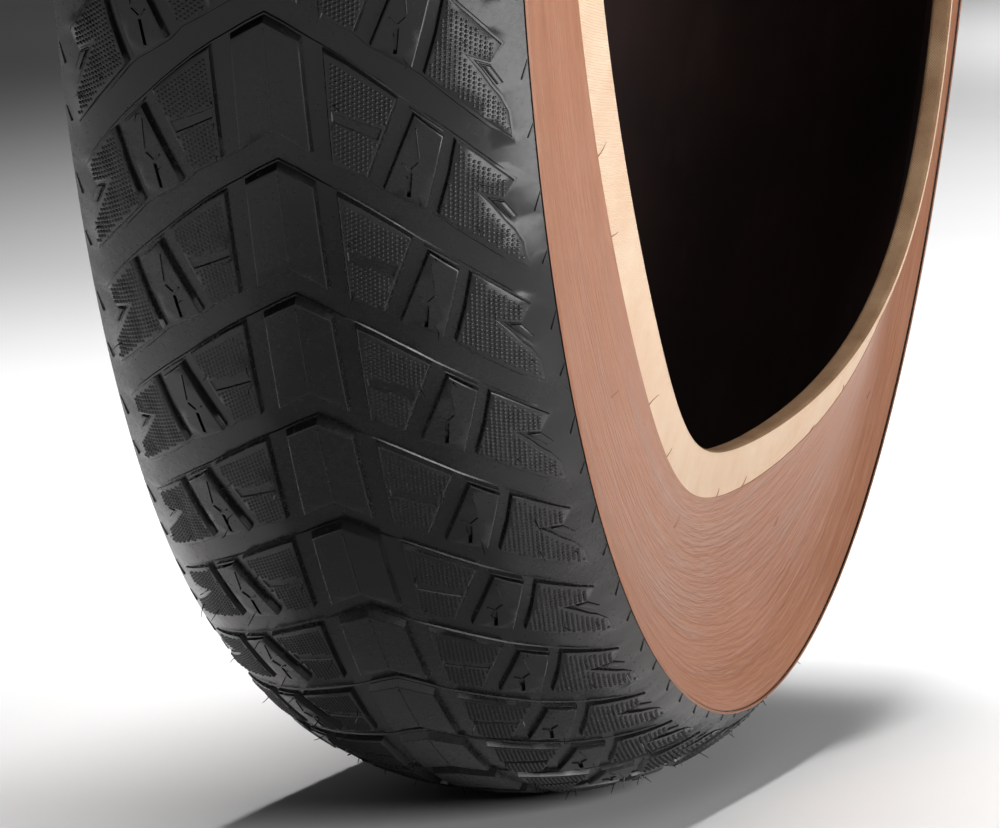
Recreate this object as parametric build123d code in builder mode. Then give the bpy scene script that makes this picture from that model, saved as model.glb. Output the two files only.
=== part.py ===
"""Wide folding bicycle tyre, built as ten solids around one spin axis.

Frame: the origin is the centre of the tyre. +Y is the spin axis, +Z is up and +X is the front.
Lengths are in millimetres. Each section is drawn in the YZ plane and turned about Y.
"left" is the +Y side and "right" is the -Y side.
"""

import math
import os

from build123d import *

# ---- driving dimensions -------------------------------------------------------------------
CROWN_RADIUS = 366.0  # outside radius of the tread on the centre line
SEAT_RADIUS = 279.5  # radius of the bead's base, half of the 559 mm seat diameter
CROWN_CURVE = 108.2  # section radius of the tread's middle
SHOULDER_CURVE = 57.2  # section radius of the tread's shoulders
SHOULDER_START = 30.2  # half width at which the shoulder curve takes over
EDGE_HALF_WIDTH = 60.5  # half width of the tread at its lower edge

TREAD_THICKNESS = 4.0  # rubber over the casing at the crown
TREAD_EDGE = 1.6  # rubber over the casing at the tread's lower edge
GROOVE_DEPTH = 2.4  # main grooves, fading to nothing at the tread's edge
FLOOR_RUN_OUT = 59.3  # half width at which the groove floor meets the surface

BELT_THICKNESS = 0.7
BELT_HALF_ANGLE = 15.0  # degrees of the crown curve covered by the breaker
CASING_THICKNESS = 1.2
LINER_THICKNESS = 0.5
SKIN_THICKNESS = 0.8
CHAFER_THICKNESS = 0.6

FOLD_RADIUS = 5.0  # casing fold under the tread's edge
WAIST_LEVEL = 318.0  # radius at which the wall is narrowest
WAIST_HALF_WIDTH = 54.8  # half width there
UPPER_WALL_CURVE = 46.3  # hollow curve from the fold to the waist
LOWER_WALL_CURVE = 93.6  # hollow curve from the waist to the bead
CHAFER_TOP = 291.0  # radius of the line where skin and chafer meet
HEEL_RADIUS = 0.9
TOE_RADIUS = 0.7
BASE_FLAT = 3.4  # flat of the bead's base, which sits on the rim
CORE_LEVEL = 282.9
CORE_HALF_WIDTH = 58.6
BUNDLE_REACH = 1.7  # middle of the bead's cord bundle to its corners
BUNDLE_BLUNT = 8.0  # degrees by which each of its six corners is blunted either way

PITCHES = 56
PHASE = 3.15  # degrees from +X to the first row's point

# One row of blocks, as (half width, distance back from the row's point along the crown).
ROW_TOP = [(0.0, 0.0), (22.0, 17.0), (41.0, 35.2), (62.0, 68.0)]
ROW_BOTTOM = [(0.0, 31.0), (22.0, 46.4), (40.0, 61.6), (62.0, 94.5)]

EXPORT_DIR = "parts"


# ---- plane geometry -----------------------------------------------------------------------
def meet(c1, r1, c2, r2, side):
    """The point at r1 from c1 and r2 from c2. side picks which of the two."""
    dx = c2[0] - c1[0]
    dy = c2[1] - c1[1]
    gap = math.hypot(dx, dy)
    along = (r1 * r1 - r2 * r2 + gap * gap) / (2.0 * gap)
    across = math.sqrt(r1 * r1 - along * along) * side
    x = c1[0] + (dx * along - dy * across) / gap
    y = c1[1] + (dy * along + dx * across) / gap
    return (x, y)


def towards(c, r, p):
    """The point of the circle (c, r) nearest to p."""
    dx = p[0] - c[0]
    dy = p[1] - c[1]
    length = math.hypot(dx, dy)
    return (c[0] + r * dx / length, c[1] + r * dy / length)


def at_width(c, r, width):
    """The upper point of the circle at this half width."""
    return (width, c[1] + math.sqrt(r * r - (width - c[0]) ** 2))


def at_level(c, r, level):
    """The point of a wall curve, whose centre lies outside, at this radius from the axis."""
    return (c[0] - math.sqrt(r * r - (level - c[1]) ** 2), level)


def tangent_centre(joint, normal, target):
    """Centre and radius of the circle through target that is tangent at joint."""
    dx = target[0] - joint[0]
    dy = target[1] - joint[1]
    radius = -(dx * dx + dy * dy) / (2.0 * (dx * normal[0] + dy * normal[1]))
    return (joint[0] - radius * normal[0], joint[1] - radius * normal[1]), radius


# Centres of the curves that all the layers share.
CROWN_CENTRE = (0.0, CROWN_RADIUS - CROWN_CURVE)
CROWN_JOINT = at_width(CROWN_CENTRE, CROWN_CURVE, SHOULDER_START)
JOINT_NORMAL = (CROWN_JOINT[0] / CROWN_CURVE, (CROWN_JOINT[1] - CROWN_CENTRE[1]) / CROWN_CURVE)
SHOULDER_CENTRE = (
    CROWN_JOINT[0] - SHOULDER_CURVE * JOINT_NORMAL[0],
    CROWN_JOINT[1] - SHOULDER_CURVE * JOINT_NORMAL[1],
)
TREAD_CORNER = at_width(SHOULDER_CENTRE, SHOULDER_CURVE, EDGE_HALF_WIDTH)

CASING_CROWN = CROWN_CURVE - TREAD_THICKNESS
CASING_JOINT = towards(CROWN_CENTRE, CASING_CROWN, CROWN_JOINT)
CASING_TARGET = towards(SHOULDER_CENTRE, SHOULDER_CURVE - TREAD_EDGE, TREAD_CORNER)
CASING_CENTRE, CASING_SHOULDER = tangent_centre(CASING_JOINT, JOINT_NORMAL, CASING_TARGET)

UPPER_CENTRE = (WAIST_HALF_WIDTH + UPPER_WALL_CURVE, WAIST_LEVEL)
LOWER_CENTRE = (WAIST_HALF_WIDTH + LOWER_WALL_CURVE, WAIST_LEVEL)
UPPER_CASING = UPPER_WALL_CURVE + SKIN_THICKNESS
LOWER_CASING = LOWER_WALL_CURVE + SKIN_THICKNESS
FOLD_CENTRE = meet(
    CASING_CENTRE, CASING_SHOULDER - FOLD_RADIUS, UPPER_CENTRE, UPPER_CASING + FOLD_RADIUS, 1.0
)

BASE_LEVEL = SEAT_RADIUS + CHAFER_THICKNESS
HEEL_CENTRE = at_level(LOWER_CENTRE, LOWER_CASING + HEEL_RADIUS, BASE_LEVEL + HEEL_RADIUS)
TOE_CENTRE = (HEEL_CENTRE[0] - BASE_FLAT, BASE_LEVEL + TOE_RADIUS)
INNER_FACE = TOE_CENTRE[0] - TOE_RADIUS
CHAFER_INNER_TOP = 288.0


# ---- section outlines, as lists of lines and arcs -------------------------------------------
def line(a, b):
    return ("line", a, b)


def arc(c, r, a, b):
    """The short arc of the circle (c, r) from a to b."""
    middle = ((a[0] + b[0]) / 2.0, (a[1] + b[1]) / 2.0)
    return ("arc", a, towards(c, r, middle), b)


def mirrored(path):
    """The same path on the other side, walked the other way."""
    result = []
    for piece in reversed(path):
        points = [(-p[0], p[1]) for p in reversed(piece[1:])]
        result.append((piece[0], *points))
    return result


def crown_path(centre, radius, half_width_point):
    """The arc over the crown from the mirrored point to the point."""
    start = (-half_width_point[0], half_width_point[1])
    return [("arc", start, (0.0, centre[1] + radius), half_width_point)]


def draw(path):
    for piece in path:
        if piece[0] == "line":
            Line(piece[1], piece[2])
        else:
            ThreePointArc(piece[1], piece[2], piece[3])


def ring(path, name):
    """Turns a closed section about the spin axis."""
    with BuildPart() as body:
        with BuildSketch(Plane.YZ):
            with BuildLine():
                draw(path)
            make_face()
        revolve(axis=Axis.Y)
    body.part.label = name
    return body.part


def casing_curve(depth, last):
    """The casing's surface at this depth below its outside, from the crown joint to last."""
    joint = towards(CROWN_CENTRE, CASING_CROWN - depth, CROWN_JOINT)
    fold_in = towards(CASING_CENTRE, CASING_SHOULDER - depth, FOLD_CENTRE)
    fold_out = towards(UPPER_CENTRE, UPPER_CASING + depth, FOLD_CENTRE)
    waist = (UPPER_CENTRE[0] - UPPER_CASING - depth, WAIST_LEVEL)
    return [
        arc(CASING_CENTRE, CASING_SHOULDER - depth, joint, fold_in),
        arc(FOLD_CENTRE, FOLD_RADIUS - depth, fold_in, fold_out),
        arc(UPPER_CENTRE, UPPER_CASING + depth, fold_out, waist),
        arc(LOWER_CENTRE, LOWER_CASING + depth, waist, last),
    ]


def full_width(outer, inner, outer_crown, inner_crown):
    """Closes a section that runs from one bead over the crown to the other."""
    right_out = outer
    end_out = outer[-1][-1]
    end_in = inner[-1][-1]
    path = mirrored(right_out) + outer_crown + right_out
    path.append(line(end_out, end_in))
    path += [(p[0], *reversed(p[1:])) for p in reversed(inner)]
    path += [(p[0], *reversed(p[1:])) for p in reversed(inner_crown)]
    path += [(p[0], *reversed(p[1:])) for p in reversed(mirrored(inner))]
    path.append(line((-end_in[0], end_in[1]), (-end_out[0], end_out[1])))
    return path


def casing_section():
    """Bead to bead, with the bead's bulb at each end."""
    heel_in = towards(LOWER_CENTRE, LOWER_CASING, HEEL_CENTRE)
    outer = casing_curve(0.0, heel_in)
    outer.append(arc(HEEL_CENTRE, HEEL_RADIUS, heel_in, (HEEL_CENTRE[0], BASE_LEVEL)))
    outer.append(line((HEEL_CENTRE[0], BASE_LEVEL), (TOE_CENTRE[0], BASE_LEVEL)))
    outer.append(arc(TOE_CENTRE, TOE_RADIUS, (TOE_CENTRE[0], BASE_LEVEL), (INNER_FACE, TOE_CENTRE[1])))
    reach = LOWER_CASING + CASING_THICKNESS
    level = WAIST_LEVEL - math.sqrt(reach**2 - (LOWER_CENTRE[0] - INNER_FACE) ** 2)
    inner = casing_curve(CASING_THICKNESS, (INNER_FACE, level))
    joint_out = outer[0][1]
    joint_in = inner[0][1]
    return full_width(
        outer,
        inner,
        crown_path(CROWN_CENTRE, CASING_CROWN, joint_out),
        crown_path(CROWN_CENTRE, CASING_CROWN - CASING_THICKNESS, joint_in),
    )


def liner_section():
    reach = LOWER_CASING + CASING_THICKNESS
    level = WAIST_LEVEL - math.sqrt(reach**2 - (LOWER_CENTRE[0] - INNER_FACE) ** 2)
    end_out = (INNER_FACE, level)
    end_in = towards(LOWER_CENTRE, reach + LINER_THICKNESS, end_out)
    outer = casing_curve(CASING_THICKNESS, end_out)
    inner = casing_curve(CASING_THICKNESS + LINER_THICKNESS, end_in)
    return full_width(
        outer,
        inner,
        crown_path(CROWN_CENTRE, CASING_CROWN - CASING_THICKNESS, outer[0][1]),
        crown_path(CROWN_CENTRE, CASING_CROWN - CASING_THICKNESS - LINER_THICKNESS, inner[0][1]),
    )


def belt_edge(radius):
    angle = math.radians(BELT_HALF_ANGLE)
    return (radius * math.sin(angle), CROWN_CENTRE[1] + radius * math.cos(angle))


def belt_section():
    low = belt_edge(CASING_CROWN)
    high = belt_edge(CASING_CROWN + BELT_THICKNESS)
    path = crown_path(CROWN_CENTRE, CASING_CROWN + BELT_THICKNESS, high)
    path.append(line(high, low))
    path.append(("arc", low, (0.0, CROWN_CENTRE[1] + CASING_CROWN), (-low[0], low[1])))
    path.append(line((-low[0], low[1]), (-high[0], high[1])))
    return path


def tread_section():
    """The plain tread before the grooves, hollowed below for the breaker."""
    low = belt_edge(CASING_CROWN)
    high = belt_edge(CASING_CROWN + BELT_THICKNESS)
    fold_in = towards(CASING_CENTRE, CASING_SHOULDER, FOLD_CENTRE)
    foot = towards(FOLD_CENTRE, FOLD_RADIUS, TREAD_CORNER)
    outer = [arc(SHOULDER_CENTRE, SHOULDER_CURVE, CROWN_JOINT, TREAD_CORNER)]
    inner = [
        arc(CROWN_CENTRE, CASING_CROWN, low, CASING_JOINT),
        arc(CASING_CENTRE, CASING_SHOULDER, CASING_JOINT, fold_in),
        arc(FOLD_CENTRE, FOLD_RADIUS, fold_in, foot),
    ]
    step = [line(high, low)]
    top = crown_path(CROWN_CENTRE, CROWN_CURVE, CROWN_JOINT)
    recess = crown_path(CROWN_CENTRE, CASING_CROWN + BELT_THICKNESS, high)
    return full_width(outer, step + inner, top, recess)


def sidewall_section():
    foot = towards(FOLD_CENTRE, FOLD_RADIUS, TREAD_CORNER)
    head = towards(FOLD_CENTRE, FOLD_RADIUS + SKIN_THICKNESS, TREAD_CORNER)
    fold_in = towards(UPPER_CENTRE, UPPER_CASING, FOLD_CENTRE)
    fold_out = towards(UPPER_CENTRE, UPPER_WALL_CURVE, FOLD_CENTRE)
    waist_in = (WAIST_HALF_WIDTH - SKIN_THICKNESS, WAIST_LEVEL)
    waist_out = (WAIST_HALF_WIDTH, WAIST_LEVEL)
    end_in = at_level(LOWER_CENTRE, LOWER_CASING, CHAFER_TOP)
    end_out = towards(LOWER_CENTRE, LOWER_WALL_CURVE, end_in)
    return [
        arc(FOLD_CENTRE, FOLD_RADIUS + SKIN_THICKNESS, head, fold_out),
        arc(UPPER_CENTRE, UPPER_WALL_CURVE, fold_out, waist_out),
        arc(LOWER_CENTRE, LOWER_WALL_CURVE, waist_out, end_out),
        line(end_out, end_in),
        arc(LOWER_CENTRE, LOWER_CASING, end_in, waist_in),
        arc(UPPER_CENTRE, UPPER_CASING, waist_in, fold_in),
        arc(FOLD_CENTRE, FOLD_RADIUS, fold_in, foot),
        line(foot, head),
    ]


def chafer_section():
    """Woven strip round the bead, from the outside, over the base and up the inside."""
    reach = LOWER_CASING - CHAFER_THICKNESS
    heel = HEEL_RADIUS + CHAFER_THICKNESS
    toe = TOE_RADIUS + CHAFER_THICKNESS
    top_in = at_level(LOWER_CENTRE, LOWER_CASING, CHAFER_TOP)
    top_out = towards(LOWER_CENTRE, reach, top_in)
    heel_out = towards(LOWER_CENTRE, reach, HEEL_CENTRE)
    heel_in = towards(LOWER_CENTRE, LOWER_CASING, HEEL_CENTRE)
    return [
        arc(LOWER_CENTRE, reach, top_out, heel_out),
        arc(HEEL_CENTRE, heel, heel_out, (HEEL_CENTRE[0], SEAT_RADIUS)),
        line((HEEL_CENTRE[0], SEAT_RADIUS), (TOE_CENTRE[0], SEAT_RADIUS)),
        arc(TOE_CENTRE, toe, (TOE_CENTRE[0], SEAT_RADIUS), (TOE_CENTRE[0] - toe, TOE_CENTRE[1])),
        line((TOE_CENTRE[0] - toe, TOE_CENTRE[1]), (TOE_CENTRE[0] - toe, CHAFER_INNER_TOP)),
        line((TOE_CENTRE[0] - toe, CHAFER_INNER_TOP), (INNER_FACE, CHAFER_INNER_TOP)),
        line((INNER_FACE, CHAFER_INNER_TOP), (INNER_FACE, TOE_CENTRE[1])),
        arc(TOE_CENTRE, TOE_RADIUS, (INNER_FACE, TOE_CENTRE[1]), (TOE_CENTRE[0], BASE_LEVEL)),
        line((TOE_CENTRE[0], BASE_LEVEL), (HEEL_CENTRE[0], BASE_LEVEL)),
        arc(HEEL_CENTRE, HEEL_RADIUS, (HEEL_CENTRE[0], BASE_LEVEL), heel_in),
        arc(LOWER_CENTRE, LOWER_CASING, heel_in, top_in),
        line(top_in, top_out),
    ]


# ---- bead cores ---------------------------------------------------------------------------
def bundle_points(reach):
    """The section of seven strands packed tight: a hexagon with blunt corners."""
    points = []
    for corner in range(6):
        for blunt in (-BUNDLE_BLUNT, BUNDLE_BLUNT):
            turn = math.radians(60.0 * corner + blunt)
            points.append((reach * math.cos(turn), reach * math.sin(turn)))
    return points


def core(name, side, grow):
    """A hoop of seven parallel strands, drawn as one tight bundle."""
    with BuildPart() as hoop:
        with BuildSketch(Plane.YZ):
            with Locations((side * CORE_HALF_WIDTH, CORE_LEVEL)):
                Polygon(*bundle_points(BUNDLE_REACH + grow), align=None)
        revolve(axis=Axis.Y)
    hoop.part.label = name
    return hoop.part


# ---- tread grooves ------------------------------------------------------------------------
def surface_level(width):
    """Radius of the plain tread at this half width."""
    if width <= SHOULDER_START:
        return at_width(CROWN_CENTRE, CROWN_CURVE, width)[1]
    inside = min(width, EDGE_HALF_WIDTH)
    return at_width(SHOULDER_CENTRE, SHOULDER_CURVE, inside)[1]


def laid_flat(width, back, side):
    """A point of the pattern on the plane that touches the crown at the row's middle."""
    angle = (MIDDLE_OF_ROW - back) / CROWN_RADIUS
    return (side * width, surface_level(width) * math.sin(angle))


MIDDLE_OF_ROW = 48.0


def prism(points):
    with BuildPart() as body:
        with BuildSketch(Plane.YZ.offset(CROWN_RADIUS - 60.0)):
            with BuildLine():
                Polyline(*points, close=True)
            make_face()
        extrude(amount=80.0)
    return body.part


def floor_body(depth):
    """A wheel whose rim is the groove floor."""
    joint = towards(CROWN_CENTRE, CROWN_CURVE - depth, CROWN_JOINT)
    run_out = at_width(SHOULDER_CENTRE, SHOULDER_CURVE, FLOOR_RUN_OUT)
    centre, radius = tangent_centre(joint, JOINT_NORMAL, run_out)
    end = at_width(centre, radius, FLOOR_RUN_OUT + 4.0)
    path = [arc(centre, radius, joint, end)]
    crown = crown_path(CROWN_CENTRE, CROWN_CURVE - depth, joint)
    foot = (end[0], CROWN_RADIUS - 90.0)
    walls = [line(end, foot), line(foot, (-foot[0], foot[1])), line((-foot[0], foot[1]), (-end[0], end[1]))]
    return ring(mirrored(path) + crown + path + walls, "floor")


def groove_tool():
    """The V-shaped groove that lies below one row of blocks."""
    low_edge = [laid_flat(w, b, -1.0) for w, b in reversed(ROW_BOTTOM)]
    low_edge += [laid_flat(w, b, 1.0) for w, b in ROW_BOTTOM[1:]]
    step = 2.0 * math.pi * CROWN_RADIUS / PITCHES
    next_top = [laid_flat(w, b + step, 1.0) for w, b in reversed(ROW_TOP)]
    next_top += [laid_flat(w, b + step, -1.0) for w, b in ROW_TOP[1:]]
    return prism(low_edge + next_top) - floor_body(GROOVE_DEPTH)


def tread():
    tool = groove_tool()
    middle = math.degrees(MIDDLE_OF_ROW / CROWN_RADIUS)
    tools = []
    for i in range(PITCHES):
        angle = PHASE - middle + 360.0 * i / PITCHES
        tools.append(Rotation(0.0, -angle, 0.0) * tool)
    blank = ring(tread_section(), "tread_cap")
    cut = blank.cut(*tools)
    with BuildPart() as body:
        add(cut)
    body.part.label = "tread_cap"
    return body.part


# ---- build and export -----------------------------------------------------------------------
def build():
    made = {}
    made["tread_cap"] = tread()
    made["breaker_belt"] = ring(belt_section(), "breaker_belt")
    casing = ring(casing_section(), "casing_ply")
    for side in (-1.0, 1.0):
        casing = casing - core("channel", side, 0.02)
    casing.label = "casing_ply"
    made["casing_ply"] = casing
    made["inner_liner"] = ring(liner_section(), "inner_liner")
    made["sidewall_left"] = ring(sidewall_section(), "sidewall_left")
    made["sidewall_right"] = ring(mirrored(sidewall_section()), "sidewall_right")
    made["chafer_left"] = ring(chafer_section(), "chafer_left")
    made["chafer_right"] = ring(mirrored(chafer_section()), "chafer_right")
    made["bead_core_left"] = core("bead_core_left", 1.0, 0.0)
    made["bead_core_right"] = core("bead_core_right", -1.0, 0.0)
    return made


os.makedirs(EXPORT_DIR, exist_ok=True)
for part_name, solid in build().items():
    solid.label = part_name
    export_step(solid, os.path.join(EXPORT_DIR, part_name + ".step"))
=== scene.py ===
import math
import random

import bpy
import numpy as np
from mathutils import Matrix, Vector
from mathutils.geometry import delaunay_2d_cdt


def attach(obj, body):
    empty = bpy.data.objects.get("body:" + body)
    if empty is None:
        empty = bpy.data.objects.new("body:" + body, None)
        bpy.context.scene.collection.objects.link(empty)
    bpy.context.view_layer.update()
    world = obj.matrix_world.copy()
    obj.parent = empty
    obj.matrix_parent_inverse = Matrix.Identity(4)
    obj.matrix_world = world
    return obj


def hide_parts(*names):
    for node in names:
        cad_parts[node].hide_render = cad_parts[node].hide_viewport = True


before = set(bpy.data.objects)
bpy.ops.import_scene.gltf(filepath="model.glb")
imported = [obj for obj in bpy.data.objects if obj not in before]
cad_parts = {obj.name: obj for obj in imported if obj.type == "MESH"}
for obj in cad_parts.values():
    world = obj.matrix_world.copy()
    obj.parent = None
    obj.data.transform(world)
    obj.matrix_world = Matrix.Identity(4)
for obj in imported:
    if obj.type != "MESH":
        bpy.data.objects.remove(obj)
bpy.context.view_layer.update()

# The tyre in millimetres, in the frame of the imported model: +Y is the spin axis and +Z is up.
# A point of a section is (half width, radius). A point of the tread pattern is
# (half width, distance back from the row's point along the crown, height over the plain tread).
CROWN_RADIUS = 366.0
SEAT_RADIUS = 279.5
PITCHES = 56
STEP = 2.0 * math.pi * CROWN_RADIUS / PITCHES
PHASE = math.radians(3.25)
AROUND = PITCHES * 8
MM = 0.001
rng = random.Random(4)


# ---- section geometry ----------------------------------------------------------------------
def meet(c1, r1, c2, r2):
    """The upper point at r1 from c1 and r2 from c2."""
    dx, dy = c2[0] - c1[0], c2[1] - c1[1]
    gap = math.hypot(dx, dy)
    along = (r1 * r1 - r2 * r2 + gap * gap) / (2.0 * gap)
    across = math.sqrt(r1 * r1 - along * along)
    return (c1[0] + (dx * along - dy * across) / gap, c1[1] + (dy * along + dx * across) / gap)


def towards(c, r, p):
    """The point of the circle (c, r) nearest to p."""
    dx, dy = p[0] - c[0], p[1] - c[1]
    length = math.hypot(dx, dy)
    return (c[0] + r * dx / length, c[1] + r * dy / length)


def tangent_centre(joint, normal, target):
    """Centre and radius of the circle through target that is tangent at joint."""
    dx, dy = target[0] - joint[0], target[1] - joint[1]
    radius = -(dx * dx + dy * dy) / (2.0 * (dx * normal[0] + dy * normal[1]))
    return (joint[0] - radius * normal[0], joint[1] - radius * normal[1]), radius


CROWN_CURVE, SHOULDER_CURVE, SHOULDER_START, EDGE = 108.2, 57.2, 30.2, 60.5
CROWN_C = (0.0, CROWN_RADIUS - CROWN_CURVE)
JOINT = (SHOULDER_START, CROWN_C[1] + math.sqrt(CROWN_CURVE**2 - SHOULDER_START**2))
NORMAL = (JOINT[0] / CROWN_CURVE, (JOINT[1] - CROWN_C[1]) / CROWN_CURVE)
SHOULDER_C = (JOINT[0] - SHOULDER_CURVE * NORMAL[0], JOINT[1] - SHOULDER_CURVE * NORMAL[1])
CORNER = (EDGE, SHOULDER_C[1] + math.sqrt(SHOULDER_CURVE**2 - (EDGE - SHOULDER_C[0]) ** 2))
CASING_CROWN = CROWN_CURVE - 4.0
CASING_JOINT = towards(CROWN_C, CASING_CROWN, JOINT)
CASING_C, CASING_R = tangent_centre(CASING_JOINT, NORMAL, towards(SHOULDER_C, SHOULDER_CURVE - 1.6, CORNER))
WAIST_W, WAIST_R = 54.8, 318.0
UPPER_C, UPPER_R = (WAIST_W + 46.3, WAIST_R), 46.3 + 0.8
LOWER_C, LOWER_R = (WAIST_W + 93.6, WAIST_R), 93.6 + 0.8
FOLD_R = 5.0
FOLD_C = meet(CASING_C, CASING_R - FOLD_R, UPPER_C, UPPER_R + FOLD_R)


def arc(c, r, a, b, step=1.6):
    """Points of the short arc of (c, r) from a to b, without the last one."""
    start = math.atan2(a[1] - c[1], a[0] - c[0])
    sweep = math.atan2(b[1] - c[1], b[0] - c[0]) - start
    sweep = (sweep + math.pi) % (2.0 * math.pi) - math.pi
    n = max(2, math.ceil(abs(sweep) * abs(r) / step))
    return [(c[0] + r * math.cos(start + sweep * i / n), c[1] + r * math.sin(start + sweep * i / n))
            for i in range(n)]


def straight(a, b, step=1.6):
    n = max(1, math.ceil(math.hypot(b[0] - a[0], b[1] - a[1]) / step))
    return [(a[0] + (b[0] - a[0]) * i / n, a[1] + (b[1] - a[1]) * i / n) for i in range(n)]


def level(c, r, radius):
    """The point of a wall curve, whose centre lies outside, at this radius from the axis."""
    return (c[0] - math.sqrt(r * r - (radius - c[1]) ** 2), radius)


def wall_curve(depth, last):
    """The casing's surface at this depth, from the middle of the crown to last."""
    joint = towards(CROWN_C, CASING_CROWN - depth, JOINT)
    fold_in = towards(CASING_C, CASING_R - depth, FOLD_C)
    fold_out = towards(UPPER_C, UPPER_R + depth, FOLD_C)
    waist = (UPPER_C[0] - UPPER_R - depth, WAIST_R)
    points = arc(CROWN_C, CASING_CROWN - depth, (0.0, CROWN_C[1] + CASING_CROWN - depth), joint, 4.0)
    points += arc(CASING_C, CASING_R - depth, joint, fold_in, 3.0)
    points += arc(FOLD_C, FOLD_R - depth, fold_in, fold_out, 1.0)
    points += arc(UPPER_C, UPPER_R + depth, fold_out, waist, 2.0)
    points += arc(LOWER_C, LOWER_R + depth, waist, last, 2.0)
    return points + [last]


BASE = SEAT_RADIUS + 0.6
HEEL_C = level(LOWER_C, LOWER_R + 0.9, BASE + 0.9)
TOE_C = (HEEL_C[0] - 3.4, BASE + 0.7)
INNER_FACE = TOE_C[0] - 0.7
INNER_END = (INNER_FACE, WAIST_R - math.sqrt((LOWER_R + 1.2) ** 2 - (LOWER_C[0] - INNER_FACE) ** 2))


def both_sides(half):
    """A closed loop from a half loop that starts and ends on the middle plane."""
    return half + [(-w, r) for w, r in reversed(half[1:-1])]


def casing_loop():
    heel_in = towards(LOWER_C, LOWER_R, HEEL_C)
    half = wall_curve(0.0, heel_in)[:-1]
    half += arc(HEEL_C, 0.9, heel_in, (HEEL_C[0], BASE), 0.5)
    half += straight((HEEL_C[0], BASE), (TOE_C[0], BASE))
    half += arc(TOE_C, 0.7, (TOE_C[0], BASE), (INNER_FACE, TOE_C[1]), 0.5)
    half += straight((INNER_FACE, TOE_C[1]), INNER_END)
    half += reversed(wall_curve(1.2, INNER_END))
    return both_sides(half)


def liner_loop():
    end_in = towards(LOWER_C, LOWER_R + 1.7, INNER_END)
    half = wall_curve(1.21, INNER_END)
    half += reversed(wall_curve(1.7, end_in))
    return both_sides(half)


def skin_loop(lapped):
    foot = towards(FOLD_C, FOLD_R, CORNER)
    head = towards(FOLD_C, FOLD_R + 0.8, CORNER)
    lip = [(60.1, -0.05), (60.0, 0.3), (60.45, 0.45)]
    out_a = towards(UPPER_C, UPPER_R - 0.8, FOLD_C)
    in_a = towards(UPPER_C, UPPER_R, FOLD_C)
    end_in = level(LOWER_C, LOWER_R, 291.0)
    end_out = towards(LOWER_C, LOWER_R - 0.8, end_in)
    fold = arc(FOLD_C, FOLD_R + 0.8, head, out_a, 0.8)
    loop = [tuple(float(v) for v in section_at(np.array(w), h)) for w, h in lip] if lapped else []
    for i, p in enumerate(fold):
        thicker = (1.2 if lapped else 0.7) * max(0.0, 1.0 - 1.4 * i / len(fold)) ** 1.5
        loop.append(towards(FOLD_C, FOLD_R + 0.8 + thicker, p))
    loop += arc(UPPER_C, UPPER_R - 0.8, out_a, (WAIST_W, WAIST_R))
    loop += arc(LOWER_C, LOWER_R - 0.8, (WAIST_W, WAIST_R), end_out)
    loop += straight(end_out, end_in)
    loop += arc(LOWER_C, LOWER_R, end_in, (WAIST_W - 0.8, WAIST_R))
    loop += arc(UPPER_C, UPPER_R, (WAIST_W - 0.8, WAIST_R), in_a)
    loop += arc(FOLD_C, FOLD_R, in_a, foot, 0.8)
    return loop + [foot] + ([towards(FOLD_C, FOLD_R + 1.55, CORNER)] if lapped else [])


def chafer_loop():
    reach = LOWER_R - 0.6
    top_in = level(LOWER_C, LOWER_R, 291.0)
    top_out = towards(LOWER_C, reach, top_in)
    heel_out, heel_in = towards(LOWER_C, reach, HEEL_C), towards(LOWER_C, LOWER_R, HEEL_C)
    inner = TOE_C[0] - 1.3
    loop = arc(LOWER_C, reach, top_out, heel_out, 1.0)
    loop += arc(HEEL_C, 1.5, heel_out, (HEEL_C[0], SEAT_RADIUS), 0.5)
    loop += straight((HEEL_C[0], SEAT_RADIUS), (TOE_C[0], SEAT_RADIUS), 0.8)
    loop += arc(TOE_C, 1.3, (TOE_C[0], SEAT_RADIUS), (inner, TOE_C[1]), 0.5)
    loop += straight((inner, TOE_C[1]), (inner, 288.0))
    loop += straight((inner, 288.0), (INNER_FACE, 288.0), 0.4)
    loop += straight((INNER_FACE, 288.0), (INNER_FACE, TOE_C[1]))
    loop += arc(TOE_C, 0.7, (INNER_FACE, TOE_C[1]), (TOE_C[0], BASE), 0.5)
    loop += straight((TOE_C[0], BASE), (HEEL_C[0], BASE), 0.8)
    loop += arc(HEEL_C, 0.9, (HEEL_C[0], BASE), heel_in, 0.5)
    loop += arc(LOWER_C, LOWER_R, heel_in, top_in, 1.0)
    return loop + [top_in]


def core_loop():
    """The lobed outline of a bundle of seven strands."""
    loop = []
    for i in range(36):
        turn = 2.0 * math.pi * i / 36
        reach = 1.36 + 0.32 * abs(math.cos(3.0 * turn))
        loop.append((58.6 + reach * math.cos(turn), 282.9 + reach * math.sin(turn)))
    return loop


# ---- how the soft walls sit ------------------------------------------------------------------
# The hoop of each bead sits a little off the middle, and each wall has a few slow bends.
# Each bend is (angle in degrees from the front, spread, outward, away from the axis).
LEFT_HOOP = (-8.5, -10.0)
LEFT_BENDS = [(-96.0, 21.0, -24.0, -17.0), (-110.0, 28.0, 16.4, -2.0), (-51.0, 22.0, 0.0, -14.5),
              (160.0, 26.0, 0.0, 10.0), (40.0, 30.0, 4.0, 4.0), (95.0, 24.0, -6.0, 2.0),
              (140.0, 26.0, 4.0, 0.0)]
RIGHT_HOOP = (-9.0, 4.0)
RIGHT_BENDS = [(-95.0, 22.0, -7.0, -4.0), (-140.0, 24.0, 5.0, 1.0), (-30.0, 26.0, 4.0, 0.0),
               (60.0, 28.0, -5.0, 0.0), (125.0, 26.0, 5.0, -1.0)]


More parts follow.
